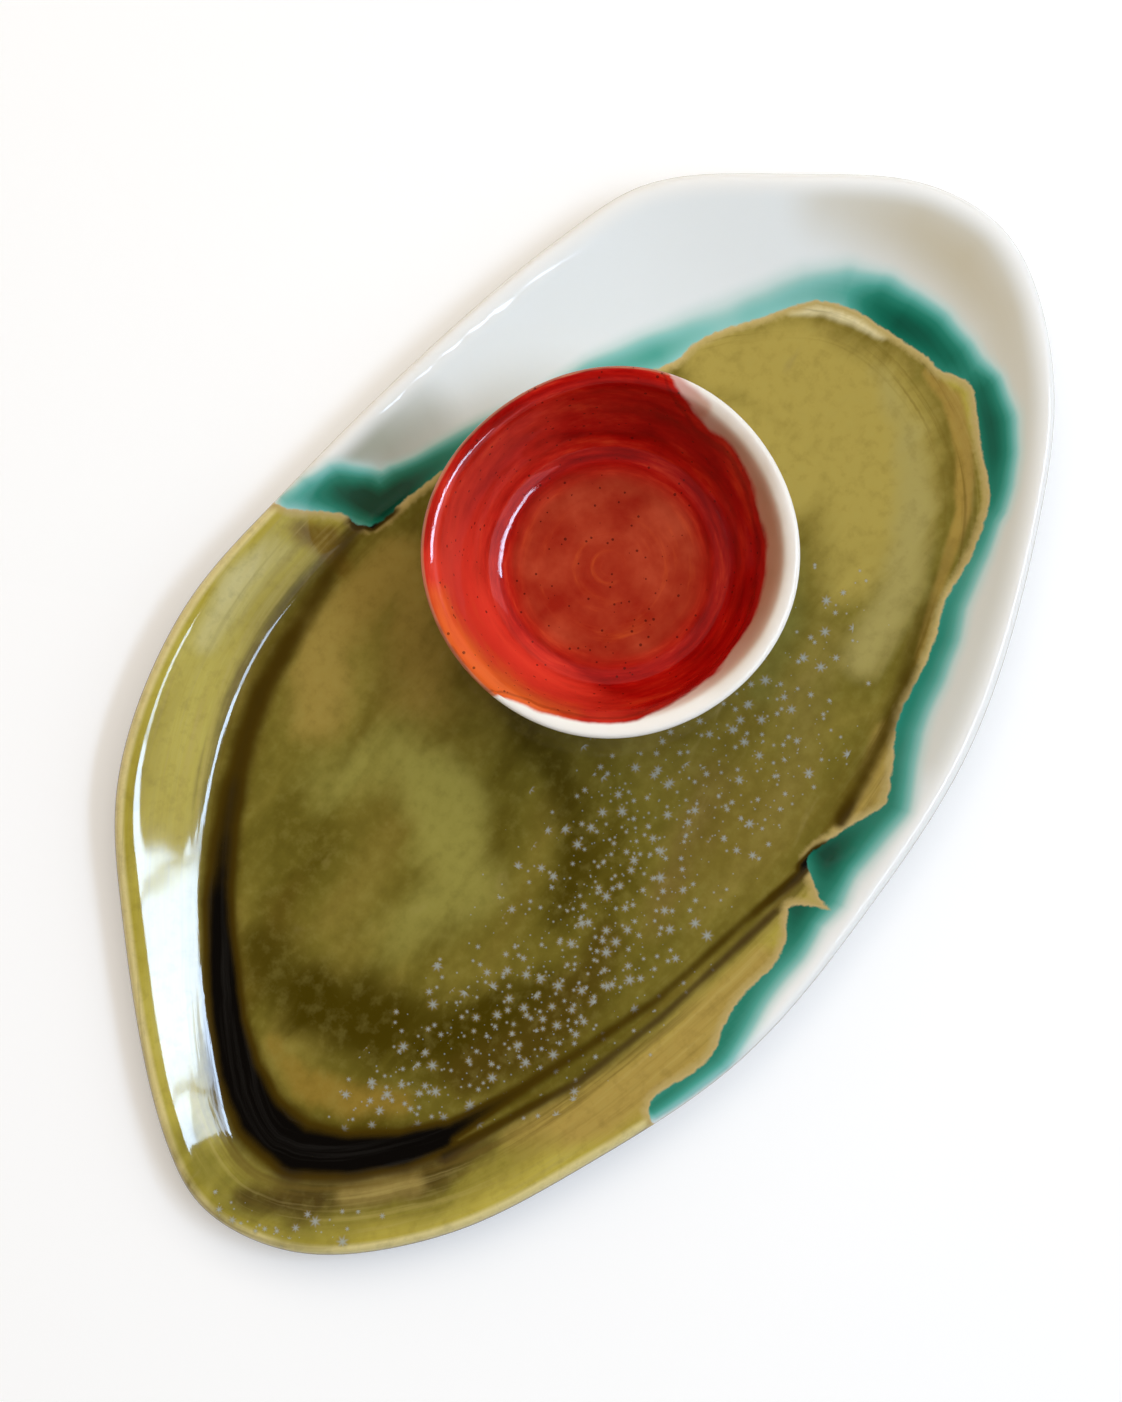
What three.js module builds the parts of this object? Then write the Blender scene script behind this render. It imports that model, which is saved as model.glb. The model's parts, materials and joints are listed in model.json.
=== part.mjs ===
// A hand-formed ceramic chip and dip platter: a long, off-centre dish with a flared rim,
// and a loose round dip bowl that stands in its well.
// Millimetres, +Z up. The origin is on the table, under the middle of the platter's box.
// +X runs along the platter, towards its wide white end.
import * as THREE from "three";

// Platter
const PLATTER_LENGTH = 380;
const PLATTER_WIDTH = 219;
const PLATTER_HEIGHT = 23; // at the white end, where the lip is highest
const WHITE_END_RIM = 51; // lip to the groove at the foot of the wall, at the +X end, where the wall lies back
const OLIVE_END_RIM = 25; // the same, at the -X end
const FRONT_RIM = 25.5; // the same, along the -Y side
const BACK_RIM = 29.5; // the same, along the +Y side
const WALL_FOOT = 4; // how far from the groove the straight wall would meet its level: the round there is as long
const GROOVE_DEPTH = 0.6; // below the floor, where glaze gathers
const GROOVE_RUN = 8; // groove to level floor
const LIP_THICKNESS = 6.5;
const WALL_THICKNESS = 5.4;
const FLOOR_THICKNESS = 6;
const FOOT_HEIGHT = 3;
const FOOT_WIDTH = 6;
const FOOT_INSET = 4; // inwards from the groove

// Dip bowl
const BOWL_RADIUS = 54;
const BOWL_HEIGHT = 46;
const BOWL_FLOOR_RADIUS = 31; // the level disc inside
const BOWL_LEDGE = 1.2; // height of the ring that the thrower left round that disc
const BOWL_LEDGE_RUN = 3;
const BOWL_LIP_THICKNESS = 3.2;
const BOWL_LIP_SLOPE = 18; // degrees from level: the soft slope that a finger left inside the lip
const BOWL_LIP_SLOPE_RUN = 3.2;
const BOWL_WALL_LEAN = 68; // degrees from level at which the wall meets that slope
const BOWL_BELLY = 0.6; // how far out the wall sets off before it turns up, as a share of its run
const BOWL_WALL_THICKNESS = 4.5;
const BOWL_FLOOR_THICKNESS = 5;
const BOWL_FOOT_RADIUS = 29;
const BOWL_FOOT_WIDTH = 5;
const BOWL_FOOT_HEIGHT = 4;
const BOWL_X = 35; // where the bowl stands in the well
const BOWL_Y = 14;
const SEAT_GAP = 0.3; // between the bowl's foot and the platter's floor

const FOOT_SOFTENING = 0.8; // worn edges of both feet

// Fineness of the faceted solids
const PLATTER_SPOKES = 100;
const BOWL_SPOKES = 64;
const PLATTER_WALL_STEPS = 4;
const PLATTER_FOOT_STEPS = 5;
const BOWL_WALL_STEPS = 9;
const LIP_STEPS = 4;

const FLOOR_TOP = FOOT_HEIGHT + FLOOR_THICKNESS;
const radians = THREE.MathUtils.degToRad;
const { lerp, mapLinear } = THREE.MathUtils;

// The lip and the groove round the well, seen from above, anticlockwise from the olive end.
// Only their shapes count: each is stretched to its own box. The well has a point for every second one of the lip.
// A lip point's third number is how far the hand-formed lip drops there, below the platter's height.
const LIP_POINTS = [
  [-190, -5, 6.5],
  [-183, -35.5, 6],
  [-153, -66.5, 5.5],
  [-110.5, -88, 5],
  [-58, -106, 4.5],
  [0, -109.5, 4.5],
  [58.5, -105, 4],
  [117, -84.5, 3],
  [162.5, -58.5, 1.5],
  [188.5, -23.5, 0],
  [187, 6.5, 0],
  [166, 40, 0],
  [136.5, 75, 0.5],
  [107, 86.5, 1],
  [60.5, 97, 1.5],
  [-2, 106, 2],
  [-53, 109, 2.5],
  [-103.5, 94, 3.5],
  [-138.5, 65.5, 6.5],
  [-179.5, 19, 7],
];
const WELL_POINTS = [
  [-165, -8],
  [-135, -46],
  [-57, -74],
  [48, -81],
  [122, -50],
  [138, 0],
  [106, 39],
  [40, 69],
  [-50, 79],
  [-117, 46],
];

// A smooth closed outline through drawn points, stretched to fill a box: one point for each spoke.
function outline(points, low, high) {
  const corners = points.map(([x, y, drop = 0]) => new THREE.Vector3(x, y, -drop));
  const drawn = new THREE.CatmullRomCurve3(corners, true, "centripetal").getPoints(PLATTER_SPOKES).slice(1);
  const box = new THREE.Box3().setFromPoints(drawn);
  return drawn.map((p) => {
    const x = mapLinear(p.x, box.min.x, box.max.x, low.x, high.x);
    const y = mapLinear(p.y, box.min.y, box.max.y, low.y, high.y);
    return new THREE.Vector3(x, y, p.z);
  });
}

// The underside of a section: each point moved square to the curve, outwards and down,
// by a thickness that tapers from the first point to the last.
function underside(section, firstThickness, lastThickness) {
  const last = section.length - 1;
  return section.map((point, i) => {
    const along = section[Math.min(i + 1, last)].clone().sub(section[Math.max(i - 1, 0)]).normalize();
    const thickness = lerp(firstThickness, lastThickness, i / last);
    return new THREE.Vector2(point.x + along.y * thickness, point.y - along.x * thickness);
  });
}

// The round of a lip: from the top of the wall's end, over the edge, to its underside.
function lipRound(top, bottom) {
  const middle = top.clone().lerp(bottom, 0.5);
  const half = top.clone().sub(middle);
  const arc = [];
  for (let i = 1; i < LIP_STEPS; i++) {
    arc.push(half.clone().rotateAround(new THREE.Vector2(), (-Math.PI * i) / LIP_STEPS).add(middle));
  }
  return arc;
}

// A foot ring's section, from its outer face to its inner one: x is measured outwards.
function footRing(outer, width, height) {
  const inner = outer - width;
  return [
    new THREE.Vector2(outer + FOOT_SOFTENING / 2, height),
    new THREE.Vector2(outer, FOOT_SOFTENING),
    new THREE.Vector2(outer - FOOT_SOFTENING, 0),
    new THREE.Vector2(inner + FOOT_SOFTENING, 0),
    new THREE.Vector2(inner, FOOT_SOFTENING),
    new THREE.Vector2(inner - FOOT_SOFTENING / 2, height),
  ];
}

// The platter's section at a spoke: x is measured outwards from the lip, so it is negative,
// and the points run from the level floor, over the lip, to the foot's inner face.
// The wall is a straight line from the round of its foot, which it leaves as a fillet, to the round of the lip.
function platterSection(rim, height) {
  const groove = new THREE.Vector2(-rim, FLOOR_TOP - GROOVE_DEPTH);
  const corner = new THREE.Vector2(groove.x + WALL_FOOT, groove.y);
  const lipRadius = LIP_THICKNESS / 2;
  const lipMiddle = new THREE.Vector2(-lipRadius, height - lipRadius);
  const rise = lipMiddle.clone().sub(corner);
  const slope = rise.angle() + Math.asin(lipRadius / rise.length());
  const upWall = new THREE.Vector2(Math.cos(slope), Math.sin(slope));
  const top = new THREE.Vector2(-upWall.y, upWall.x).multiplyScalar(lipRadius).add(lipMiddle);
  const heel = corner.clone().addScaledVector(upWall, WALL_FOOT);

  const round = new THREE.QuadraticBezierCurve(groove, corner, heel);
  const wall = new THREE.LineCurve(heel, top);
  const inside = [...round.getPoints(PLATTER_FOOT_STEPS), ...wall.getPoints(PLATTER_WALL_STEPS).slice(1)];
  const outside = underside(inside, WALL_THICKNESS, LIP_THICKNESS).reverse();

  const level = new THREE.Vector2(groove.x - GROOVE_RUN, FLOOR_TOP);
  const fall = level.clone().lerp(groove, 0.5);
  const foot = footRing(groove.x - FOOT_INSET, FOOT_WIDTH, FOOT_HEIGHT);
  return [level, fall, ...inside, ...lipRound(top, outside[0]), ...outside, ...foot];
}

// A closed skin through rings of points, with a fan at each end to that end's middle point.
function loft(rings, firstMiddle, lastMiddle) {
  const count = rings[0].length;
  const vertices = [firstMiddle, ...rings.flat(), lastMiddle];
  const lastIndex = vertices.length - 1;
  const at = (ring, spoke) => 1 + ring * count + (spoke % count);
  const faces = [];
  for (let spoke = 0; spoke < count; spoke++) {
    faces.push(0, at(0, spoke), at(0, spoke + 1));
    for (let ring = 0; ring < rings.length - 1; ring++) {
      const [a, b] = [at(ring, spoke), at(ring, spoke + 1)];
      const [c, d] = [at(ring + 1, spoke), at(ring + 1, spoke + 1)];
      faces.push(a, c, d, a, d, b);
    }
    faces.push(lastIndex, at(rings.length - 1, spoke + 1), at(rings.length - 1, spoke));
  }
  return new THREE.BufferGeometry().setFromPoints(vertices).setIndex(faces);
}

// The platter's skin: a section at each spoke between lip and groove, whose rim is as wide as the two lie apart.
function platterGeometry() {
  const half = new THREE.Vector2(PLATTER_LENGTH, PLATTER_WIDTH).divideScalar(2);
  const lip = outline(LIP_POINTS, half.clone().negate(), half);
  const wellLow = new THREE.Vector2(OLIVE_END_RIM, FRONT_RIM).sub(half);
  const wellHigh = half.clone().sub(new THREE.Vector2(WHITE_END_RIM, BACK_RIM));
  const well = outline(WELL_POINTS, wellLow, wellHigh);
  const spokes = lip.map((edge, i) => {
    const outwards = edge.clone().sub(well[i]).setZ(0);
    const section = platterSection(outwards.length(), PLATTER_HEIGHT + edge.z);
    outwards.normalize();
    return section.map((p) => edge.clone().addScaledVector(outwards, p.x).setZ(p.y));
  });
  const rings = spokes[0].map((_, k) => spokes.map((spoke) => spoke[k]));

  // Level rings that close the floor and the recess under it.
  const drawnIn = (ring, share) => ring.map((p) => new THREE.Vector3(p.x * share, p.y * share, p.z));
  const floorRings = [0.35, 0.7].map((share) => drawnIn(rings[0], share));
  const recessRings = [0.7, 0.35].map((share) => drawnIn(rings.at(-1), share));
  return loft(
    [...floorRings, ...rings, ...recessRings],
    new THREE.Vector3(0, 0, FLOOR_TOP),
    new THREE.Vector3(0, 0, FOOT_HEIGHT),
  );
}

// How far the bowl's lip wanders from a true circle, as thrown by hand: an oval, with soft corners.
const BOWL_WANDER = [
  { by: 0.5, lobes: 2, turned: -28 },
  { by: 0.35, lobes: 3, turned: 15 },
  { by: 0.4, lobes: 4, turned: 28 },
];
const wander = (angle) =>
  BOWL_WANDER.reduce((sum, { by, lobes, turned }) => sum + by * Math.cos(lobes * (angle - radians(turned))), 0);

// The bowl's section, from the middle of its floor, over the lip, to the middle of the recess in its foot.
function bowlSection() {
  const lean = radians(BOWL_WALL_LEAN);
  const slope = radians(BOWL_LIP_SLOPE);
  const lipRadius = BOWL_LIP_THICKNESS / 2;
  const floorZ = BOWL_FOOT_HEIGHT + BOWL_FLOOR_THICKNESS;
  const top = new THREE.Vector2(
    BOWL_RADIUS - lipRadius * (1 + Math.sin(slope)),
    BOWL_HEIGHT - lipRadius * (1 - Math.cos(slope)),
  );
  const wallTop = top.clone().sub(new THREE.Vector2(1, Math.tan(slope)).multiplyScalar(BOWL_LIP_SLOPE_RUN));
  const start = new THREE.Vector2(BOWL_FLOOR_RADIUS + BOWL_LEDGE_RUN, floorZ + BOWL_LEDGE);
  const rise = wallTop.clone().sub(start);
  const belly = start.clone().add(new THREE.Vector2(BOWL_BELLY * rise.x, 0.1 * rise.y));
  const lipHandle = new THREE.Vector2(Math.cos(lean), Math.sin(lean)).multiplyScalar(-rise.y / 2).add(wallTop);
  const wall = new THREE.CubicBezierCurve(start, belly, lipHandle, wallTop);
  const inside = [...wall.getPoints(BOWL_WALL_STEPS), wallTop.clone().lerp(top, 0.5), top];
  const outside = underside(inside, BOWL_WALL_THICKNESS, BOWL_LIP_THICKNESS).reverse();
  return [
    new THREE.Vector2(0, floorZ),
    new THREE.Vector2(BOWL_FLOOR_RADIUS / 2, floorZ),
    new THREE.Vector2(BOWL_FLOOR_RADIUS - BOWL_LEDGE_RUN, floorZ),
    new THREE.Vector2(BOWL_FLOOR_RADIUS, floorZ + BOWL_LEDGE / 4),
    ...inside,
    ...lipRound(top, outside[0]),
    ...outside,
    ...footRing(BOWL_FOOT_RADIUS, BOWL_FOOT_WIDTH, BOWL_FOOT_HEIGHT),
    new THREE.Vector2(0, BOWL_FOOT_HEIGHT),
  ];
}

// The thrown bowl: its section turned about its axis, then pushed off round, more and more towards the lip.
function bowlGeometry() {
  const turned = new THREE.LatheGeometry(bowlSection().reverse(), BOWL_SPOKES).rotateX(Math.PI / 2);
  const position = turned.getAttribute("position");
  const p = new THREE.Vector3();
  for (let i = 0; i < position.count; i++) {
    p.fromBufferAttribute(position, i);
    const radius = Math.hypot(p.x, p.y);
    const push = (wander(Math.atan2(p.y, p.x)) * p.z) / BOWL_HEIGHT;
    const grow = radius > BOWL_FLOOR_RADIUS ? 1 + push / radius : 1;
    position.setXYZ(i, p.x * grow, p.y * grow, p.z);
  }
  return turned;
}

function piece(name, geometry, colour, roughness) {
  const material = new THREE.MeshStandardMaterial({ color: colour, roughness, metalness: 0 });
  const mesh = new THREE.Mesh(geometry, material);
  mesh.name = name;
  return mesh;
}

const platter = piece("platter", platterGeometry(), 0x6f6426, 0.12);
const dipBowl = piece("dip_bowl", bowlGeometry(), 0xa32a1c, 0.1);
dipBowl.position.set(BOWL_X, BOWL_Y, FLOOR_TOP + SEAT_GAP);

const chipAndDipPlatter = new THREE.Group();
chipAndDipPlatter.add(platter, dipBowl);

export default chipAndDipPlatter;
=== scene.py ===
import json
import math

import bmesh
import bpy
import numpy as np
from mathutils import Matrix, Vector


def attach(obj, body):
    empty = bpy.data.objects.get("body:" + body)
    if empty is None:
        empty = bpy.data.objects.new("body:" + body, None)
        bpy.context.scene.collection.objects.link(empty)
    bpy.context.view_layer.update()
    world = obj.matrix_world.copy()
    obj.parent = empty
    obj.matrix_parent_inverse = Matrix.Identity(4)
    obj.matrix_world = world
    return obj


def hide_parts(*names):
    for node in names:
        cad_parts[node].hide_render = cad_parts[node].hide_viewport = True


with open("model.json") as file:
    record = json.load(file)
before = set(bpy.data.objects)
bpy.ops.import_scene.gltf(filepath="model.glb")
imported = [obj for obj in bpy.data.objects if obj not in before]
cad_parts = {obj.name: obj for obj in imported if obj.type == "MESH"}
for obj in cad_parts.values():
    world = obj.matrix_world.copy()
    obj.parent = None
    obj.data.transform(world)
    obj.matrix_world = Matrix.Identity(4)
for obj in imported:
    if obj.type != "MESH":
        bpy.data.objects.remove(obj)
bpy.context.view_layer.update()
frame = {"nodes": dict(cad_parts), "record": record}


# The platter's body
# A slab of white stoneware, pressed by hand into a long off-centre mould. The rim was turned out and the lip
# rounded with wet fingers, so no edge is sharp. The frame's solid gives its rings and spokes, made fine here.
MM = 0.001
FLOOR_TOP = next(m for m in frame["record"]["mounts"] if m["name"] == "well_floor")["pos_m"][2] / MM
FLOOR_CUTS = 3  # extra rings on the level floor, so that painted edges stay crisp there
SPOKE_LENGTH = 14  # an edge of the level floor that is longer than this, in millimetres, is a spoke
WELD_GAP = 0.002  # corners closer than this, in millimetres, are one corner
LEVEL_WITHIN = 0.01  # millimetres by which a corner of the level floor may lie off it
ANY_ANGLE = 3.0  # radians, wide enough to join every pair of triangles
ROUNDINGS = 2  # how often each face is split in four


def fine_copy(node, name, floor_height=None):
    """A smooth copy of a CAD node: its triangles joined to the quads of its rings, then subdivided."""
    bm = bmesh.new()
    bm.from_mesh(frame["nodes"][node].data)
    bmesh.ops.remove_doubles(bm, verts=bm.verts, dist=WELD_GAP * MM)
    bmesh.ops.join_triangles(
        bm, faces=bm.faces, angle_face_threshold=ANY_ANGLE, angle_shape_threshold=ANY_ANGLE
    )
    if floor_height is not None:
        spokes = [
            edge
            for edge in bm.edges
            if edge.calc_length() > SPOKE_LENGTH * MM
            and all(abs(corner.co.z / MM - floor_height) < LEVEL_WITHIN for corner in edge.verts)
        ]
        bmesh.ops.subdivide_edges(bm, edges=spokes, cuts=FLOOR_CUTS, use_grid_fill=True)
    cage = bpy.data.meshes.new(name)
    bm.to_mesh(cage)
    bm.free()
    piece = bpy.data.objects.new(name, cage)
    bpy.context.scene.collection.objects.link(piece)
    rounding = piece.modifiers.new("rounding", "SUBSURF")
    rounding.levels = rounding.render_levels = ROUNDINGS
    piece.data = bpy.data.meshes.new_from_object(piece.evaluated_get(bpy.context.evaluated_depsgraph_get()))
    piece.modifiers.clear()
    piece.data.name = name
    piece.data.shade_smooth()
    return piece


def points_mm(mesh, what):
    """A mesh's vertex positions in millimetres, or its vertex normals, as an array."""
    values = np.empty(3 * len(mesh.vertices), np.float32)
    if what == "co":
        mesh.vertices.foreach_get("co", values)
        values /= MM
    else:
        mesh.vertex_normals.foreach_get("vector", values)
    return values.reshape(-1, 3).astype(float)


platter = fine_copy("platter", "platter_body", FLOOR_TOP)
place = points_mm(platter.data, "co")
facing = points_mm(platter.data, "normal")


# Its poured glazes
# First the white glaze over everything, then an olive one poured over the narrow end. Where the two ran into
# each other they made a teal bloom. Each edge is a line drawn on the surface, in millimetres.
OLIVE_EDGE = [
    (-16, 116), (-10, 105.5), (-8.5, 101), (-3, 93.5), (0.5, 88), (0.5, 84), (3, 80), (7.5, 78), (14, 77),
    (22, 75), (50, 67), (75, 55), (96.5, 38), (106.5, 35.5), (115, 31.5), (125.5, 24), (134.5, 18),
    (140.5, 12.5), (144.5, 2.5), (145.5, -9), (146, -24), (145, -29.5), (146.5, -36), (146, -41),
    (138.5, -48.5), (132, -55), (126, -61.5), (119, -66.5), (105, -71), (89, -73), (79, -77), (67.5, -80),
    (57, -81.5), (50, -83.5), (41.5, -88.5), (29.5, -94.5), (25.5, -94), (16.5, -90), (10, -88), (1.5, -86),
    (-5, -94.5), (-6, -97), (-6, -101.5), (-12.5, -90.5), (-18, -92.5), (-22.5, -95), (-30, -96.5),
    (-43.5, -94.5), (-54.5, -95.5), (-62, -97.5), (-70.5, -96), (-80, -92), (-85.5, -91.5), (-89, -95),
    (-96, -112), (-150, -112), (-210, -60), (-210, 40), (-150, 110), (-80, 130),
]
LINE_STEPS = 6  # points of a smooth line for each drawn one
EVENED_OVER = 4  # neighbours on either side that even out a line found on the mesh
GROOVE_DIP = 0.5  # what faces up and lies this far below the floor, in millimetres, is the groove
LIP_RISE = 2  # what lies this far above the floor, in millimetres, and stands upright is the lip
UPRIGHT = 0.25  # a skin stands upright where it faces up or down by less than this
FOOT_FADE = 0.5  # millimetres over which the glaze on a foot gives way to bare clay

# Brush strokes: each point of a path is its place, how far off the colour fades to nothing, and its strength.
TEAL_BLOOM = [
    [
        (-7, 103, 7, 0.4), (-1, 98, 11, 0.6), (5, 92, 14, 0.9), (8, 86, 14, 1), (9, 81, 13, 1),
        (17, 79, 12, 0.95), (27, 76, 9, 0.75), (40, 72, 8, 0.55), (60, 63, 8, 0.45), (80, 54, 11, 0.46),
        (98, 42, 14, 0.46), (109, 37, 14, 0.4), (120, 30, 14, 0.36), (130, 23, 14, 0.36),
        (140, 16.5, 14, 0.38), (147.5, 7, 15, 0.52), (149.5, -3, 16, 0.76), (149.5, -11, 16, 0.84),
    ],
    [
        (149.5, -11, 16, 0.86), (150, -20, 15, 0.84), (149, -30, 13, 0.8), (148.5, -37, 11, 0.65),
        (147, -43, 11, 0.8), (140.5, -51, 12, 0.84), (133.5, -57.5, 11, 0.8), (126, -63, 10, 0.68),
        (119, -67, 9, 0.58),
    ],
    [
        (119, -67, 8, 0.55), (105, -71, 9, 0.55), (89, -74, 10, 0.58), (79, -78, 11, 0.6),
        (67, -81, 12, 0.62), (57, -83, 12, 0.62), (50, -85, 12, 0.62), (41, -89, 12, 0.62),
        (29, -95, 12, 0.65), (16, -92, 15, 0.72), (6, -90, 16, 0.9), (-4, -96, 12, 0.62),
        (-12, -92, 14, 0.85), (-23, -96, 11, 0.62), (-43, -95, 12, 0.62), (-62, -98, 11, 0.62),
        (-75, -95, 9, 0.6), (-86, -92, 7, 0.6),
    ],
]
DARK_POOL = [
    [
        (0, 84, 4, 0.25), (-11, 82, 6, 0.25), (-29, 80, 7.5, 0.32), (-43, 78, 7.5, 0.36),
        (-57, 76, 7.5, 0.38), (-72, 71, 7.5, 0.4), (-86, 65, 8, 0.46), (-100, 57, 8, 0.55),
        (-115, 48, 8, 0.7), (-129, 36, 8.5, 0.9), (-142, 24, 9, 1), (-152, 12, 11, 1), (-159, -1, 13, 1),
        (-160, -16, 13.5, 1), (-152, -29, 11.5, 1), (-141, -41, 9.5, 1), (-131, -48, 8, 0.9),
    ],
    [
        (-131, -48, 6, 0.8), (-107, -58, 4, 0.42), (-86, -66, 3.4, 0.34), (-60, -75, 3, 0.3),
        (-46, -78, 2.8, 0.28), (-25, -82, 2.6, 0.28), (-4, -87, 3, 0.5),
    ],
    [
        (-135, -52, 4, 0.55), (-110, -63, 2.8, 0.36), (-93, -71, 2.6, 0.32), (-64, -79, 2.4, 0.3),
        (-16, -88, 2.3, 0.3),
    ],
    [(-2, -86, 3, 0.6), (5, -88, 4.2, 1), (9, -90, 3, 0.8)],
    [(0, 86, 2.4, 0.5), (3, 80, 3, 0.7), (11, 77, 2.4, 0.4)],
    [
        (105, -64, 4, 0.1), (81, -71, 6, 0.2), (61, -78, 6.5, 0.26), (45, -82.5, 6, 0.26), (28, -86, 5, 0.3),
        (17, -87, 4, 0.45),
    ],
]
CRYSTAL_DRIFT = [
    [
        (71, -47, 22, 0.3), (41, -54, 28, 0.5), (11, -50, 36, 0.75), (-20, -45, 42, 0.95), (-53, -48, 42, 1),
        (-81, -49, 38, 1), (-112, -38, 30, 0.85), (-138, -26, 18, 0.7),
    ],
    [(-186, -10, 8, 0.7), (-178, -31, 8, 0.7), (-160, -48, 6, 0.4)],
]

# Washes of the olive glaze, from the first to the last: its colour where it is thinner or thicker, and where
WASHES = {
    "sunny_end": (
        "#ae9a4b",
        [
            [(106, 26, 22, 1), (118, 7, 34, 1), (119, -20, 40, 1), (100, -38, 34, 0.9), (78, -46, 24, 0.7)],
            [(80, 38, 20, 1), (92, 8, 24, 1), (92, -12, 24, 1)],
        ],
    ),
    "green_side": ("#7d7838", [[(70, -26, 14, 0.5), (54, -38, 15, 0.6), (36, -44, 14, 0.5)]]),
    "greyed_side": (
        "#a99a58",
        [
            [
                (134, -15, 8, 0.5), (125, -32, 12, 0.6), (107, -49, 13, 0.7), (86, -60, 15, 0.8),
                (60, -63, 14, 0.8),
            ],
        ],
    ),
    "tan_front": (
        "#8a7838",
        [[(60, -52, 18, 0.5), (41, -56, 20, 0.6), (30, -64, 16, 0.6), (0, -72, 12, 0.5), (-35, -70, 9, 0.4)]],
    ),
    "tan_back": (
        "#a08840",
        [
            [(-2, 66, 17, 0.9), (-20, 70, 18, 0.9), (-36, 70, 18, 0.9), (-52, 58, 20, 0.7)],
            [(-4, 60, 16, 0.8), (-14, 48, 22, 0.7), (-30, 38, 22, 0.5)],
        ],
    ),
    "green_cloud": (
        "#968d42",
        [
            [
                (-66, 43, 22, 0.5), (-49, 30, 24, 0.7), (-50, 10, 24, 0.9), (-68, -8, 22, 0.7),
                (-91, -4, 20, 0.5),
            ],
        ],
    ),
    # Darker olive glaze, and along its first path, below the bowl, a painted shadow of the bowl
    "moss_and_bowl_shadow": (
        "#473a03",
        [
            [
                (-14, 16, 12, 0.5), (-20, -1, 14, 0.65), (-27, -18, 15, 0.7), (-41, -31, 15, 0.7),
                (-58, -38, 13, 0.6),
            ],
            [
                (-80, -48, 20, 0.7), (-104, -34, 24, 0.85), (-115, -14, 27, 0.85), (-122, 6, 25, 0.85),
                (-119, 30, 18, 0.5),
            ],
        ],
    ),
    "crystal_tan": (
        "#7d6830",
        [[(4, -50, 14, 0.4), (-14, -54, 17, 0.5), (-32, -58, 15, 0.55), (-44, -62, 12, 0.4)]],
    ),
    "crystal_brown": (
        "#54430f",
        [[(-55, -52, 16, 0.6), (-72, -56, 18, 0.8), (-93, -54, 17, 0.8), (-113, -42, 14, 0.7)]],
    ),
    "ochre_pool": (
        "#94792f",
        [[(-139, 10, 6, 0.5), (-143, -6, 10, 0.9), (-138, -20, 11, 0.9), (-130, -32, 9, 0.7)]],
    ),
    "ochre_strip": (
        "#a88a40",
        [
            [
                (142, -27, 3.5, 0.7), (140, -38, 5, 1), (130, -50, 5, 1), (115, -61, 4.5, 1),
                (100, -66, 4, 0.9), (85, -71, 3.3, 0.8), (70, -77, 2.7, 0.7),
            ],
        ],
    ),
    "tan_wall": (
        "#b4994a",
        [
            [(-118, -68, 12, 0.6), (-96, -81, 14, 1), (-68, -90, 14, 1), (-32, -93, 9, 1)],
            [(46, -83, 7, 1), (29, -90, 7, 1), (14, -88, 4, 0.8)],
        ],
    ),
    "brown_patch": ("#7a5f1e", [[(-12, 96, 7, 0.6), (-9, 87, 9, 0.9), (-13, 79, 7, 0.7)]]),
    "green_foot": (
        "#8b7f2c",
        [
            [
                (-176, 14, 12, 0.6), (-181, -8, 15, 0.9), (-172, -30, 16, 0.9), (-145, -56, 15, 0.8),
                (-112, -75, 10, 0.4),
            ],
        ],
    ),
    "dark_runs": (
        "#4c3b05",
        [
            [
                (-180, -12, 8, 0.6), (-172, -26, 11, 0.8), (-158, -38, 12, 0.75), (-144, -50, 13, 0.8),
                (-126, -60, 10, 0.6),
            ],
        ],
    ),
    "buff_patch": ("#8f7a3c", [[(-161, -36, 8, 0.8), (-147, -49, 8, 0.8)]]),
    "pale_wall": ("#d0c585", [[(-20, 98, 9, 0.5), (-36, 101, 10, 0.8), (-56, 97, 9, 0.6)]]),
    "cream_edge": ("#e6d8a6", [[(134, 18, 5, 0.8), (141, 11, 7, 1.1), (144, 2, 7, 1.1), (145, -8, 6, 0.9)]]),
}

# Washes of the white glaze: warmed by the clay where it lies thin and, on the wall that faces away from the
# window, darkened to beige as painted shade; and greyed beside the bloom's first end
WHITE_WASHES = {
    # Beige partly from thin glaze, partly painted shade on the wall that faces away from the window
    "beige_and_shade_side": (
        "#cabd9f",
        [
            [
                (166, 26, 20, 0.5), (174, 2, 24, 0.8), (174, -15, 24, 0.9), (168, -34, 22, 0.8),
                (151, -56, 20, 0.6), (126, -72, 16, 0.5), (103, -81, 15, 0.4), (79, -88, 14, 0.35),
                (47, -96, 11, 0.3),
            ],
        ],
    ),
    "grey_bloom": ("#a3a492", [[(14, 97, 14, 0.9), (24, 92, 17, 0.9), (38, 87, 15, 0.6)]]),
}


def smooth_line(points):
    """A smooth closed line through drawn points: their Catmull-Rom spline, as an array."""
    p = np.array(points, float)
    before, after, last = (np.roll(p, n, axis=0) for n in (1, -1, -2))
    t = np.linspace(0, 1, LINE_STEPS, endpoint=False)[:, None, None]
    curve = p + 0.5 * (
        (after - before) * t
        + (2 * before - 5 * p + 4 * after - last) * t**2
        + (3 * p - before - 3 * after + last) * t**3
    )
    return curve.swapaxes(0, 1).reshape(-1, 2)


def ring_through(points):
    """A closed line through points that lie round the origin: sorted by their direction, and evened out."""
    line = points[np.argsort(np.arctan2(points[:, 1], points[:, 0]))]
    shifts = range(-EVENED_OVER, EVENED_OVER + 1)
    return np.mean([np.roll(line, shift, axis=0) for shift in shifts], axis=0)[::2]


def gap_to(points, start, end):
    """How far points lie from a straight stretch, and the share of it before the place nearest to them."""
    side = end - start
    share = np.clip((points - start) @ side / (side @ side), 0, 1)
    return np.linalg.norm(points - start - share[:, None] * side, axis=1), share


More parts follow.
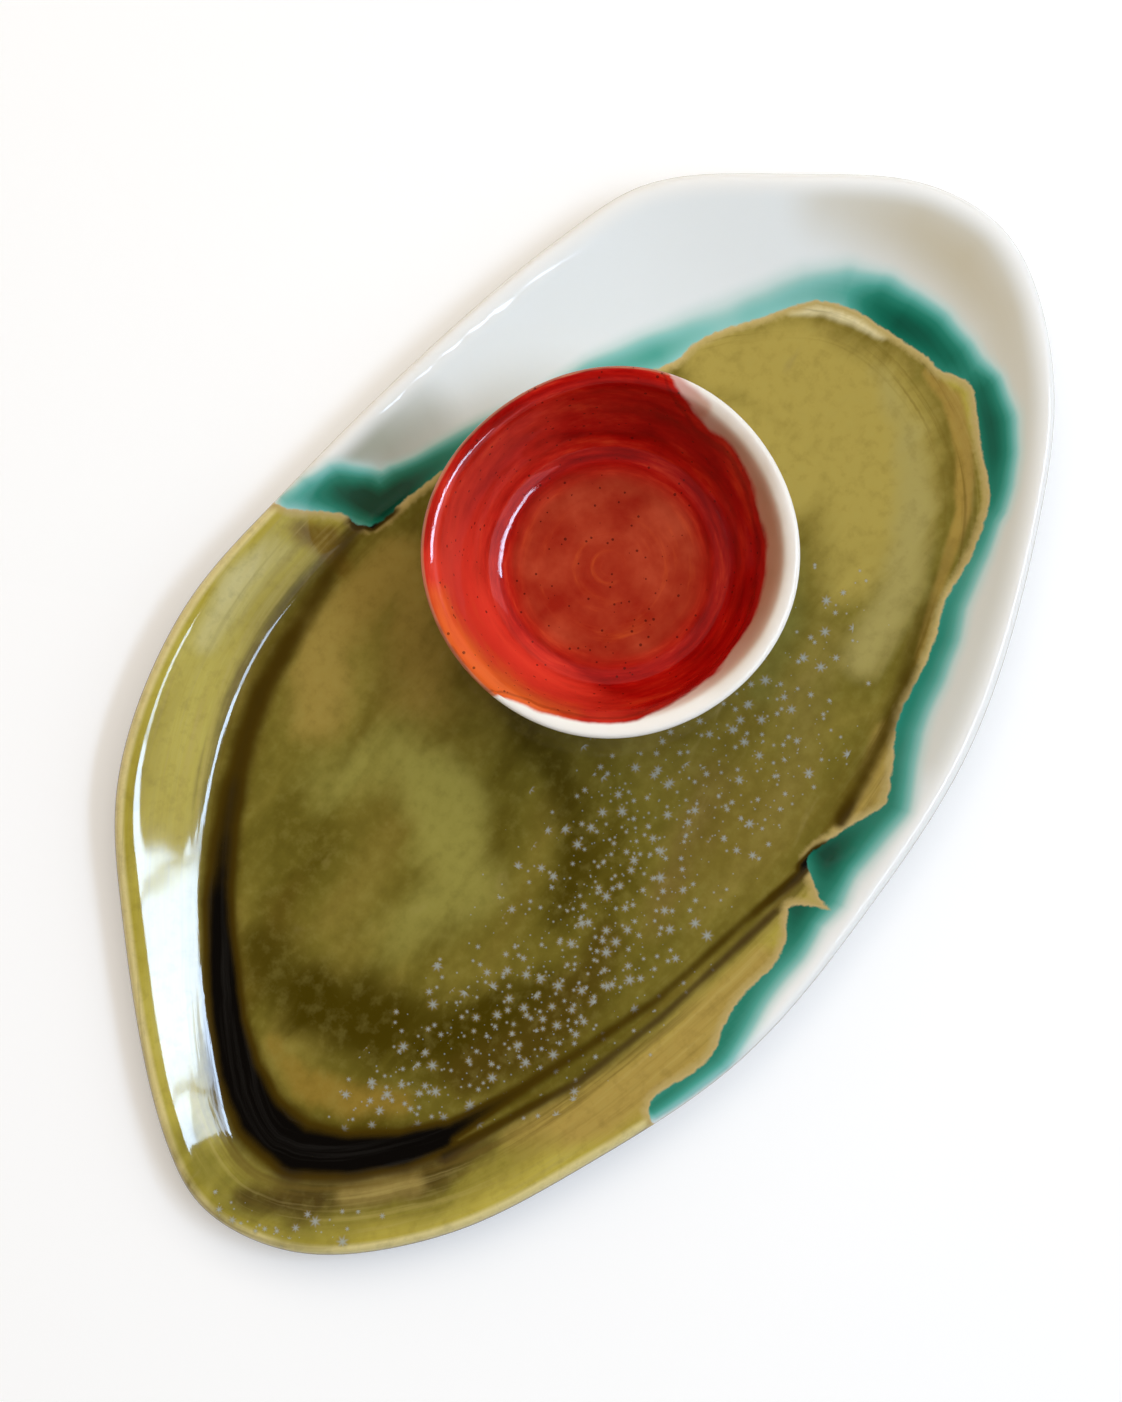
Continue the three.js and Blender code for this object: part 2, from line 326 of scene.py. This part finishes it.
def depth_inside(points, line):
    """How far each point lies inside a closed line: negative where it lies outside."""
    nearest = np.full(len(points), np.inf)
    inside = np.zeros(len(points), bool)
    for start, end in zip(line, np.roll(line, -1, axis=0)):
        nearest = np.minimum(nearest, gap_to(points, start, end)[0])
        if start[1] != end[1]:
            beside = (points[:, 1] > start[1]) != (points[:, 1] > end[1])
            crossing = start[0] + (points[:, 1] - start[1]) * (end[0] - start[0]) / (end[1] - start[1])
            inside ^= beside & (points[:, 0] < crossing)
    return np.where(inside, nearest, -nearest)


def brushed(points, strokes):
    """How strongly brush strokes cover each point: their strength along their paths, fading to 0."""
    cover = np.zeros(len(points))
    for stroke in strokes:
        path = np.array(stroke, float)
        for start, end in zip(path, path[1:]):
            gap, share = gap_to(points, start[:2], end[:2])
            reach, strength = start[2:, None] + share * (end[2:, None] - start[2:, None])
            near = np.clip(1 - gap / reach, 0, 1)
            cover = np.maximum(cover, strength * near * near * (3 - 2 * near))
    return cover


def paint(mesh, name, values):
    """Keeps a value for each vertex, for a material to read."""
    mesh.attributes.new(name, "FLOAT", "POINT").data.foreach_set("value", values.astype(np.float32))


def paint_foot(mesh, height):
    """Marks the sole that a piece stands on, which is bare clay, from each vertex's height in millimetres."""
    paint(mesh, "bare_foot", np.clip(1.2 - height / FOOT_FADE, 0, 1))


above = place[:, :2]
faces_up = facing[:, 2] > 0
in_groove = faces_up & (place[:, 2] < FLOOR_TOP - GROOVE_DIP)
on_lip = (np.abs(facing[:, 2]) < UPRIGHT) & (place[:, 2] > FLOOR_TOP + LIP_RISE)
from_lip = depth_inside(above, ring_through(above[on_lip]))
paint(platter.data, "olive_depth", depth_inside(above, smooth_line(OLIVE_EDGE)))
paint(platter.data, "groove_depth", depth_inside(above, ring_through(above[in_groove])))
paint(platter.data, "lip_depth", np.where(faces_up, from_lip, -np.abs(from_lip)))
paint_foot(platter.data, place[:, 2])
paint(platter.data, "teal_bloom", brushed(above, TEAL_BLOOM))
paint(platter.data, "dark_pool", brushed(above, DARK_POOL))
paint(platter.data, "crystal_drift", brushed(above, CRYSTAL_DRIFT))
for name, (_, strokes) in (WASHES | WHITE_WASHES).items():
    paint(platter.data, name, brushed(above, strokes))


def linear(hex_colour):
    """A colour as a shader wants it, from its sRGB hex value."""
    channels = [int(hex_colour[i : i + 2], 16) / 255 for i in (1, 3, 5)]
    return (*[c / 12.92 if c <= 0.04045 else ((c + 0.055) / 1.055) ** 2.4 for c in channels], 1)


def add(tree, kind, inputs=None, stops=None, **settings):
    """Adds a node. An input is a value, or the node or socket that feeds it; stops are a ramp's colours."""
    node = tree.nodes.new("ShaderNode" + kind)
    for name, value in settings.items():
        setattr(node, name, value)
    if stops:
        ramp = node.color_ramp.elements
        ramp[0].position, ramp[1].position = stops[0][0], stops[-1][0]
        for place_on_ramp, _ in stops[1:-1]:
            ramp.new(place_on_ramp)
        for element, (_, colour) in zip(ramp, stops):
            element.color = linear(colour)
    for name, value in (inputs or {}).items():
        socket = next(s for s in node.inputs if s.enabled and name in (s.name, s.identifier))
        if isinstance(value, bpy.types.Node):
            value = next(s for s in value.outputs if s.enabled)
        if isinstance(value, bpy.types.NodeSocket):
            tree.links.new(value, socket)
        else:
            socket.default_value = value
    return node


def new_material(name):
    """A new material and its node tree, empty."""
    material = bpy.data.materials.new(name)
    material.use_nodes = True
    material.node_tree.nodes.clear()
    return material, material.node_tree


def per_mm(size):
    """The scale at which a texture on metres repeats about every so many millimetres."""
    return 1 / (size * MM)


def painted(tree, name):
    """The value that paint kept for each vertex under this name."""
    return add(tree, "Attribute", attribute_name=name).outputs["Fac"]


def calc(tree, operation, *values):
    """A Math node on one to three values."""
    return add(tree, "Math", dict(zip(("Value", "Value_001", "Value_002"), values)), operation=operation)


def ease(tree, value, start, end, most=1, shape="SMOOTHSTEP"):
    """A share that goes from 0, where the value is at the start, to the most, where it is at the end."""
    limits = {"Value": value, "From Min": start, "From Max": end, "To Max": most}
    return add(tree, "MapRange", limits, interpolation_type=shape)


def lay(tree, share, under, over):
    """One colour laid over another by a share. Each is an sRGB hex value or the node that makes it."""
    under, over = (linear(tint) if isinstance(tint, str) else tint for tint in (under, over))
    return add(tree, "Mix", {"Factor": share, "A": under, "B": over}, data_type="RGBA")


def noise(tree, at, size, detail, **more):
    """Noise whose largest spots are about so many millimetres apart."""
    return add(tree, "TexNoise", {"Vector": at, "Scale": per_mm(size), "Detail": detail, **more})


def drawn_out(tree, across, across_scale, parts, length, detail):
    """Noise drawn out into lines: narrow in one measure, long in the two level parts of a place."""
    narrow = calc(tree, "MULTIPLY", across, across_scale)
    long_x, long_y = (calc(tree, "MULTIPLY", parts.outputs[part], per_mm(length)) for part in "XY")
    at = add(tree, "CombineXYZ", {"X": narrow, "Y": long_x, "Z": long_y})
    return add(tree, "TexNoise", {"Vector": at, "Scale": 1, "Detail": detail, "Roughness": 0.6})


def level_length(tree, parts):
    """How long a vector is when seen from above, from its parts."""
    level = add(tree, "CombineXYZ", {"X": parts.outputs["X"], "Y": parts.outputs["Y"]})
    return add(tree, "VectorMath", {"Vector": level}, operation="LENGTH").outputs["Value"]


def wander(tree, depth, wobble, most):
    """A depth whose edge wanders to both sides, by so many millimetres at most, as a noise tells it."""
    swing = {"Value": wobble, "From Min": 0.3, "From Max": 0.7, "To Min": -most, "To Max": most}
    return calc(tree, "ADD", depth, add(tree, "MapRange", swing))


BARE_CLAY = "#cfc2aa"
CLAY_ROUGHNESS = 0.85
GLAZE_ROUGHNESS = 0.05
GLAZE_IOR = 1.52


def glaze_on(piece, material, colour, relief):
    """Ends a glaze's node tree, with dull bare clay on the foot, and puts it on a piece."""
    tree = material.node_tree
    bare_foot = painted(tree, "bare_foot")
    colour = lay(tree, bare_foot, colour, BARE_CLAY)
    limits = {"Value": bare_foot, "To Min": GLAZE_ROUGHNESS, "To Max": CLAY_ROUGHNESS}
    dullness = add(tree, "MapRange", limits)
    surface = {"Base Color": colour, "Roughness": dullness, "IOR": GLAZE_IOR, "Normal": relief}
    add(tree, "OutputMaterial", {"Surface": add(tree, "BsdfPrincipled", surface)})
    piece.data.materials.clear()
    piece.data.materials.append(material)


# Poured stoneware glaze: a glass, so it shines; clouded where it ran thick and thin
poured_glaze, tree = new_material("poured_stoneware_glaze")
where = add(tree, "TexCoord").outputs["Object"]
groove_depth = painted(tree, "groove_depth")
lip_depth = painted(tree, "lip_depth")

# Its unevenness: clouds drawn out along the platter, mottles, fine grain, and streaks that run along the rim
CLOUD_SQUEEZE = (0.4, 1, 1)
CLOUD_TURN = (0, 0, 0.1)
STREAK_WIDTH = 2.4
STREAK_LENGTH = 70
along = add(tree, "Mapping", {"Vector": where, "Scale": CLOUD_SQUEEZE, "Rotation": CLOUD_TURN})
cloud = noise(tree, along, 20, 4, Roughness=0.5, Distortion=0.4)
drift = noise(tree, along, 34, 3, Roughness=0.5)
blotch = noise(tree, along, 14, 4, Roughness=0.52, Distortion=0.8)
mottle = noise(tree, where, 13, 4, Roughness=0.55)
fine = noise(tree, where, 4, 3, Roughness=0.6)
grain = noise(tree, where, 2, 2)
swell = noise(tree, where, 24, 1)
level_place = add(tree, "SeparateXYZ", {"Vector": where})
streak = drawn_out(tree, groove_depth, 1 / STREAK_WIDTH, level_place, STREAK_LENGTH, 3)

# White glaze, and the teal bloom in it
TEALS = [
    (0.3, "#c0dcd6"), (0.44, "#88c6be"), (0.58, "#4fa596"),
    (0.72, "#27836e"), (0.86, "#126a54"), (1, "#0b4634"),
]
off_lip = ease(tree, lip_depth, 2, 9)
white = lay(tree, off_lip, "#f9f8f4", "#eef2f2")
for name, (tint, _) in WHITE_WASHES.items():
    white = lay(tree, calc(tree, "MULTIPLY", painted(tree, name), off_lip), white, tint)
bloom = calc(tree, "MULTIPLY_ADD", swell, 0.2, painted(tree, "teal_bloom"))
teal = add(tree, "ValToRGB", {"Fac": bloom}, TEALS)
white = lay(tree, ease(tree, bloom, 0.12, 0.42), white, teal)

# Olive glaze on the floor and, run thin, on the wall and lip. On the wall it is lighter still, as a painted
# reflection of the bright room.
FLOOR_OLIVES = [(0.32, "#5c4f12"), (0.44, "#6e6220"), (0.54, "#7a6d28"), (0.68, "#8c7c34")]
# Lighter than the floor as thin glaze, and lighter still as painted reflection
WALL_OLIVES_AND_SHEEN = [(0.34, "#9c8c2e"), (0.46, "#b3a23e"), (0.56, "#c0b04c"), (0.68, "#cfc065")]
floor_colour = add(tree, "ValToRGB", {"Fac": cloud}, FLOOR_OLIVES)
floor_colour = lay(tree, ease(tree, drift, 0.45, 0.65, 0.5), floor_colour, "#6f5a1e")
wall_run = add(tree, "Mix", {"Factor": 0.5, "A": streak, "B": cloud}, data_type="FLOAT")
wall_olive_and_sheen = add(tree, "ValToRGB", {"Fac": wall_run}, WALL_OLIVES_AND_SHEEN)
wall_start = calc(tree, "MULTIPLY_ADD", streak, 6, groove_depth)
colour = lay(tree, ease(tree, wall_start, -2, -8), floor_colour, wall_olive_and_sheen)
# The lip's pale band: the glaze broken thin over the edge, lightened further as painted light where the lip
# curves down
colour = lay(tree, ease(tree, lip_depth, 3.8, 2.2), colour, "#e2d292")

# Its washes, whose edges the blotches tear, then the runs on the wall and the fine grain everywhere
for name, (tint, _) in WASHES.items():
    torn = calc(tree, "MULTIPLY_ADD", blotch, 0.8, painted(tree, name))
    colour = lay(tree, ease(tree, torn, 0.52, 1.22), colour, tint)
on_wall = ease(tree, groove_depth, -3, -9)
for start, end, most, tint in ((0.52, 0.72, 0.36, "#6f5a1a"), (0.47, 0.3, 0.28, "#d3bf70")):
    run = ease(tree, streak, start, end, most, "LINEAR")
    colour = lay(tree, calc(tree, "MULTIPLY", run, on_wall), colour, tint)
for start, end, most, tint in ((0.5, 0.72, 0.18, "#453a04"), (0.5, 0.3, 0.12, "#b0a458")):
    colour = lay(tree, ease(tree, fine, start, end, most, "LINEAR"), colour, tint)

# Darker lines along the groove and the foot of the wall
near_groove = calc(tree, "MULTIPLY", ease(tree, groove_depth, -11, -7), ease(tree, groove_depth, 9, 2))
lines = ease(tree, streak, 0.48, 0.7, 0.55)
colour = lay(tree, calc(tree, "MULTIPLY", lines, near_groove), colour, "#6a5518")

# On the lip's outer edge it stops in a brown line, and the white in a thin beige one, which is partly painted
# shade where the edge turns down
lip_line = ease(tree, lip_depth, 0.7, 0)
colour = lay(tree, lip_line, colour, "#5f4a17")
white = lay(tree, lip_line, white, "#cdc5b5")

# Its edge against the white, where it thins to a tan line
EDGE_WANDER = 0.3
olive_depth = wander(tree, painted(tree, "olive_depth"), grain, EDGE_WANDER)
for start, end, tint in ((3.2, 0.6, "#c0a968"), (1, 0, "#cbb27a")):
    colour = lay(tree, ease(tree, olive_depth, start, end), colour, tint)

# Crystals that grew as the kiln cooled: pale stars with arms in ochre haloes, and specks between them.
# For each size: how far apart they grow, how long the arms are, how strong the halo is, how rare they are.
CRYSTALS = [(5.4, 2.0, 0.55, 1.05), (3.7, 1.05, 0.35, 1.35), (2.8, 0.45, 0, 1.4)]
ARMS = 7
SHORTEST = 0.35  # the smallest star's share of the largest
crystal_drift = painted(tree, "crystal_drift")
for spacing, star, halo, rarity in CRYSTALS:
    grid = {"Vector": where, "Scale": per_mm(spacing), "Randomness": 1}
    cells = add(tree, "TexVoronoi", grid, voronoi_dimensions="2D")
    from_seed = {"Vector": where, "Vector_001": cells.outputs["Position"]}
    offset = add(tree, "SeparateXYZ", {"Vector": add(tree, "VectorMath", from_seed, operation="SUBTRACT")})
    gap = level_length(tree, offset)
    chance = add(tree, "SeparateColor", {"Color": cells.outputs["Color"]})
    sizes = {"Value": chance.outputs["Green"], "To Min": SHORTEST * star * MM, "To Max": star * MM}
    size = add(tree, "MapRange", sizes)
    angle = calc(tree, "ARCTAN2", offset.outputs["Y"], offset.outputs["X"])
    turned = calc(tree, "MULTIPLY_ADD", chance.outputs["Red"], 9, angle)
    wave = calc(tree, "COSINE", calc(tree, "MULTIPLY", turned, ARMS / 2))
    arm = calc(tree, "POWER", calc(tree, "ABSOLUTE", wave), 2)
    arm_reach = add(tree, "MapRange", {"Value": arm, "To Min": 0.5, "To Max": 1})
    out_of_star = calc(tree, "DIVIDE", gap, calc(tree, "MULTIPLY", size, arm_reach))
    out_of_halo = calc(tree, "DIVIDE", gap, size)
    odds = calc(tree, "MULTIPLY", chance.outputs["Blue"], rarity)
    grows = calc(tree, "GREATER_THAN", crystal_drift, odds)
    layers = ((out_of_halo, 1.5, "#8f7630", halo), (out_of_star, 1.25, "#a9b6ba", 0.62))
    for edge, start, tint, most in layers:
        glow = ease(tree, edge, start, 0.1, most)
        colour = lay(tree, calc(tree, "MULTIPLY", glow, grows), colour, tint)

# Where it gathered in the groove it is brown, and near black at the narrow end, with grey streaks of painted
# sheen on the black
black_with_sheen = lay(tree, ease(tree, streak, 0.48, 0.72, 0.3, "LINEAR"), "#0a0705", "#3a3733")
pool = calc(tree, "MULTIPLY_ADD", mottle, 0.25, painted(tree, "dark_pool"))
for start, end, tint in ((0.14, 0.5, "#463405"), (0.45, 0.85, black_with_sheen)):
    colour = lay(tree, ease(tree, pool, start, end), colour, tint)

# The two glazes meet, over soft swells, with fine lines combed along the groove
SWELL_DEPTH = 0.15
LINE_DEPTH = 0.04
colour = lay(tree, ease(tree, olive_depth, -0.4, 0.4), white, colour)
line_height = calc(tree, "MULTIPLY", streak, near_groove)
swells = add(tree, "Bump", {"Height": swell, "Strength": 1, "Distance": SWELL_DEPTH * MM})
combed = add(
    tree, "Bump", {"Height": line_height, "Strength": 1, "Distance": LINE_DEPTH * MM, "Normal": swells}
)
glaze_on(platter, poured_glaze, colour, combed)
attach(platter, "platter")
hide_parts("platter")


# The dip bowl
# A small bowl thrown on a wheel from the same clay, which stands loose in the well on its own foot. It was
# dipped in white glaze, then its inside was brushed red on the turning wheel, leaving a white crescent.
RED_EDGE = [
    (51.5, 17), (49, 12.5), (47, 3), (46, -8.5), (43, -17), (38.5, -24), (32.5, -31.5), (24.5, -38),
    (15.5, -42.5), (5, -44.5), (-8, -44.5), (-20.5, -41), (-33, -35.5), (-41, -28), (-46, -18.5), (-50, -8),
    (-53, 0), (-60, 10), (-50, 45), (0, 65), (45, 50), (58, 25),
]
BOWL_STROKES = {
    # Painted light on the left inner wall, which faces the window
    "painted_light_side": [
        [
            (18, 38, 14, 0.45), (6, 43, 14, 0.5), (-14, 42, 16, 0.6), (-30, 34, 18, 0.9), (-43, 14, 17, 1),
            (-38, -26, 15, 0.6),
        ],
    ],
    "orange_thin": [
        [(-40, 31, 8, 0.6), (-47, 20, 10, 0.8), (-50, 8, 11, 1), (-49, -4, 10, 1), (-43, -18, 7, 0.6)],
    ],
    "pink_thin": [[(50, 15, 5.5, 1), (49, 4, 5, 0.9)]],
    # Cream on the white beside the red: partly its colour, partly painted shade
    "cream_and_shade_side": [
        [(50, 0, 14, 0.8), (48, -20, 16, 1), (33, -38, 16, 1), (5, -48, 14, 0.8), (-10, -48, 10, 0.4)],
    ],
}
RED_RUN = 2.5  # how far the red runs over the lip
LIP_HEIGHT = 3  # millimetres from the top that belong to the lip
FOOT_HEIGHT = 0.3  # millimetres from the bottom that belong to the foot's sole
OUTSIDE_LEAN = 0.05  # a skin that faces away from the axis by more than this is outside
DISC_RADIUS = 32
RING_WIDTH = 3.2
RING_LENGTH = 22
SPECK_SPACING = 1.7
RED_WANDER = 0.6
RING_DEPTH = 0.06

bowl = fine_copy("dip_bowl", "dip_bowl_body")
spot = points_mm(bowl.data, "co")
outwards = points_mm(bowl.data, "normal")
over_foot = spot[:, 2] - spot[:, 2].min()
below_lip = spot[:, 2].max() - spot[:, 2]
axis = spot[spot[:, 2] < spot[:, 2].min() + FOOT_HEIGHT, :2].mean(axis=0)
across = spot[:, :2] - axis
from_axis = np.linalg.norm(across, axis=1)
away_from_axis = across / np.maximum(from_axis, 0.001)[:, None]
leaning_out = np.einsum("ij,ij->i", outwards[:, :2], away_from_axis)
red_line = smooth_line(RED_EDGE)
by_lip = away_from_axis * (from_axis.max() - 1)
run_over = np.minimum(depth_inside(by_lip, red_line), RED_RUN) - below_lip
paint(bowl.data, "red_depth", np.where(leaning_out > OUTSIDE_LEAN, run_over, depth_inside(across, red_line)))
paint(bowl.data, "lip_break", np.where(below_lip < LIP_HEIGHT, np.clip((leaning_out - 0.1) / 0.5, 0, 1), 0))
paint_foot(bowl.data, over_foot)
for name, strokes in BOWL_STROKES.items():
    paint(bowl.data, name, brushed(across, strokes))

# Brushed red glaze: thin where the brush dragged, in rings, with a worn disc in the middle
REDS = [(0.3, "#8a0402"), (0.44, "#a20905"), (0.56, "#b8140b"), (0.72, "#cc281a")]
DISC_REDS = [(0.32, "#9a2412"), (0.5, "#aa3a20"), (0.68, "#bc4c2e")]
red_glaze, tree = new_material("brushed_red_glaze")
where = add(tree, "TexCoord").outputs["Object"]
centred = add(tree, "Mapping", {"Vector": where, "Location": (-axis[0] * MM, -axis[1] * MM, 0)})
from_middle = add(tree, "SeparateXYZ", {"Vector": centred})
radius = level_length(tree, from_middle)
rings = drawn_out(tree, radius, per_mm(RING_WIDTH), from_middle, RING_LENGTH, 4)
patches = noise(tree, where, 12, 4)
colour = add(tree, "ValToRGB", {"Fac": rings}, REDS)
# Painted light: a lighter red laid on the left inner wall, which faces the window
painted_light = calc(tree, "MULTIPLY_ADD", rings, 0.6, painted(tree, "painted_light_side"))
colour = lay(tree, ease(tree, painted_light, 0.35, 1.25), colour, "#f24430")
radius_mm = calc(tree, "MULTIPLY", radius, 1 / MM)
disc = ease(tree, radius_mm, DISC_RADIUS + 1, DISC_RADIUS - 8, 0.95)
worn = add(tree, "Mix", {"Factor": 0.9, "A": rings, "B": patches}, data_type="FLOAT")
colour = lay(tree, disc, colour, add(tree, "ValToRGB", {"Fac": worn}, DISC_REDS))
thin = calc(tree, "MULTIPLY_ADD", rings, 1.5, painted(tree, "orange_thin"))
colour = lay(tree, ease(tree, thin, 0.8, 1.8, 0.8), colour, "#f0702c")

# On the lip it breaks to a thin orange line
broken = calc(tree, "MULTIPLY_ADD", patches, 0.8, painted(tree, "lip_break"))
colour = lay(tree, ease(tree, broken, 0.7, 1.3, 0.7), colour, "#d48a66")

# Iron specks
cells = add(tree, "TexVoronoi", {"Vector": where, "Scale": per_mm(SPECK_SPACING), "Randomness": 1})
chance = add(tree, "SeparateColor", {"Color": cells.outputs["Color"]})
speck_size = ease(tree, chance.outputs["Red"], 0.72, 1, 0.28, "LINEAR")
in_speck = calc(tree, "LESS_THAN", cells.outputs["Distance"], speck_size)
colour = lay(tree, calc(tree, "MULTIPLY", in_speck, 0.7), colour, "#3c0d06")

# The edge of the red: a dark line where the brush left a ridge, then a soft cream margin that is partly
# painted shade and reflected red on the white, and pink at one end
RIDGE_FROM_EDGE = 1.9
red_depth = wander(tree, painted(tree, "red_depth"), patches, RED_WANDER)
off_ridge = calc(tree, "ABSOLUTE", calc(tree, "SUBTRACT", red_depth, RIDGE_FROM_EDGE))
colour = lay(tree, ease(tree, off_ridge, 0.7, 0.1, 0.35), colour, "#5c0a06")
pink = calc(tree, "MULTIPLY_ADD", patches, 0.7, painted(tree, "pink_thin"))
white = lay(tree, ease(tree, pink, 0.5, 1.2, 0.7), "#fdf8f0", "#c46a58")
shaded_margin = ease(tree, red_depth, -9, -0.3, 0.95)
white = lay(tree, calc(tree, "MULTIPLY", shaded_margin, painted(tree, "cream_and_shade_side")), white, "#b99a78")
colour = lay(tree, ease(tree, red_depth, -0.7, 0.6), white, colour)
thrown = add(tree, "Bump", {"Height": rings, "Strength": 1, "Distance": RING_DEPTH * MM})
glaze_on(bowl, red_glaze, colour, thrown)
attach(bowl, "dip_bowl")
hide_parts("dip_bowl")


# The table
# A plain white table top, wide enough to fill the picture. It keeps the soft shadow of the platter, and is
# lifted to white only for what the eye sees of it directly or in a gloss.
TABLE_LIFT = 0.275
TABLE_REACH = 3  # metres from its middle to its sides
table = bpy.data.objects.new("table_top", bpy.data.meshes.new("table_top"))
bpy.context.scene.collection.objects.link(table)
bm = bmesh.new()
bmesh.ops.create_grid(bm, x_segments=1, y_segments=1, size=TABLE_REACH)
bm.to_mesh(table.data)
bm.free()
paper, tree = new_material("white_table")
rays = add(tree, "LightPath")
seen = calc(tree, "ADD", rays.outputs["Is Camera Ray"], rays.outputs["Is Glossy Ray"])
seen = calc(tree, "MAXIMUM", seen, rays.outputs["Is Transmission Ray"])
lift = add(tree, "Math", {"Value": seen, "Value_001": TABLE_LIFT}, operation="MULTIPLY", use_clamp=True)
shader = add(
    tree,
    "BsdfPrincipled",
    {
        "Base Color": linear("#e6e6e6"),
        "Roughness": 1,
        "Specular IOR Level": 0,
        "Emission Color": linear("#ffffff"),
        "Emission Strength": lift,
    },
)
add(tree, "OutputMaterial", {"Surface": shader})
table.data.materials.append(paper)


# The camera
# It stands almost straight above, leaning a little towards the bottom of the picture. The platter lies
# aslant, with its wide white end at the top.
AIM = Vector((-4.54, 2.26, 0)) * MM
DISTANCE = 0.8
LENS = 67.2
LEAN = math.radians(4.5)
TURN = math.radians(53)  # the platter's long axis, above the picture's level
right = Vector((math.cos(TURN), -math.sin(TURN), 0))
away = Vector((math.sin(TURN), math.cos(TURN), 0))
back = Vector((0, 0, 1)) * math.cos(LEAN) - away * math.sin(LEAN)
camera = bpy.data.objects.new("camera", bpy.data.cameras.new("camera"))
bpy.context.scene.collection.objects.link(camera)
camera_axes = Matrix((right, back.cross(right), back)).transposed()
camera.matrix_world = Matrix.Translation(AIM + back * DISTANCE) @ camera_axes.to_4x4()
camera.data.lens = LENS
camera.data.clip_start = 0.05
bpy.context.scene.camera = camera


# The light
# A window of four panes to the picture's right, two of them with a lower pane, and the cool room round it.
# A warm wall to the left and a cloth overhead light the glaze without being mirrored in it. All round lies a
# dim pale room.
LAMP_DISTANCE = 2.0
PANES = 4
PANE_WIDTH = 0.24
PANE_PITCH = 0.25
WINDOW_SIDE = -7
WINDOW_BLUE = "#c6e0ff"
LIT_SIDE = math.radians(60)  # where the room is brightest, from the picture's right


def lamp(name, azimuth, height, size, strength, colour, shift=0, mirrored=True):
    """A rectangular lamp that looks at the platter, placed by its direction in the picture, in degrees."""
    a, h = math.radians(azimuth), math.radians(height)
    towards = (right * math.cos(a) + away * math.sin(a)) * math.cos(h) + Vector((0, 0, math.sin(h)))
    sideways = Vector((0, 0, 1)).cross(towards).normalized()
    data = bpy.data.lights.new(name, "AREA")
    data.shape = "RECTANGLE"
    data.size, data.size_y = size
    data.energy = strength * math.pi * size[0] * size[1]
    data.color = linear(colour)[:3]
    made = bpy.data.objects.new(name, data)
    made.location = towards * LAMP_DISTANCE + sideways * shift
    made.rotation_euler = towards.to_track_quat("Z", "Y").to_euler()
    made.visible_glossy = mirrored
    bpy.context.scene.collection.objects.link(made)


for pane in range(PANES):
    shift = (pane - (PANES - 1) / 2) * PANE_PITCH
    strength = 23 if pane else 16
    lamp(f"window_high_{pane}", WINDOW_SIDE, 60.5, (PANE_WIDTH, 0.175), strength, WINDOW_BLUE, shift)
    if pane > 1:
        lamp(f"window_low_{pane}", WINDOW_SIDE, 56, (PANE_WIDTH, 0.14), 11, WINDOW_BLUE, shift)
lamp("cool_room", -10, 38, (2.4, 1.4), 0.6, "#d8eaff")
lamp("warm_wall", 150, 42, (3.0, 2.0), 0.45, "#ffd995", mirrored=False)
lamp("overhead_cloth", 60, 70, (2.4, 2.0), 1.7, "#fff8f0", mirrored=False)

world = bpy.data.worlds.new("pale_room")
world.use_nodes = True
tree = world.node_tree
tree.nodes.clear()
lit_from = (right * math.cos(LIT_SIDE) + away * math.sin(LIT_SIDE)).normalized()
looking = add(tree, "TexCoord").outputs["Generated"]
pair = {"Vector": looking, "Vector_001": lit_from}
slant = add(tree, "VectorMath", pair, operation="DOT_PRODUCT").outputs["Value"]
walls = add(tree, "MapRange", {"Value": slant, "From Min": -1, "From Max": 1, "To Min": 0.15, "To Max": 0.28})
overhead = add(tree, "SeparateXYZ", {"Vector": looking}).outputs["Z"]
ceiling = add(
    tree,
    "MapRange",
    {"Value": overhead, "From Min": 0.85, "From Max": 0.96, "To Min": 1, "To Max": 0.12},
    interpolation_type="SMOOTHSTEP",
)
brightness = calc(tree, "MULTIPLY", walls, ceiling)
room = add(tree, "Background", {"Color": linear("#fff8ea"), "Strength": brightness})
add(tree, "OutputWorld", {"Surface": room})
bpy.context.scene.world = world
bpy.context.scene.view_settings.view_transform = "Standard"
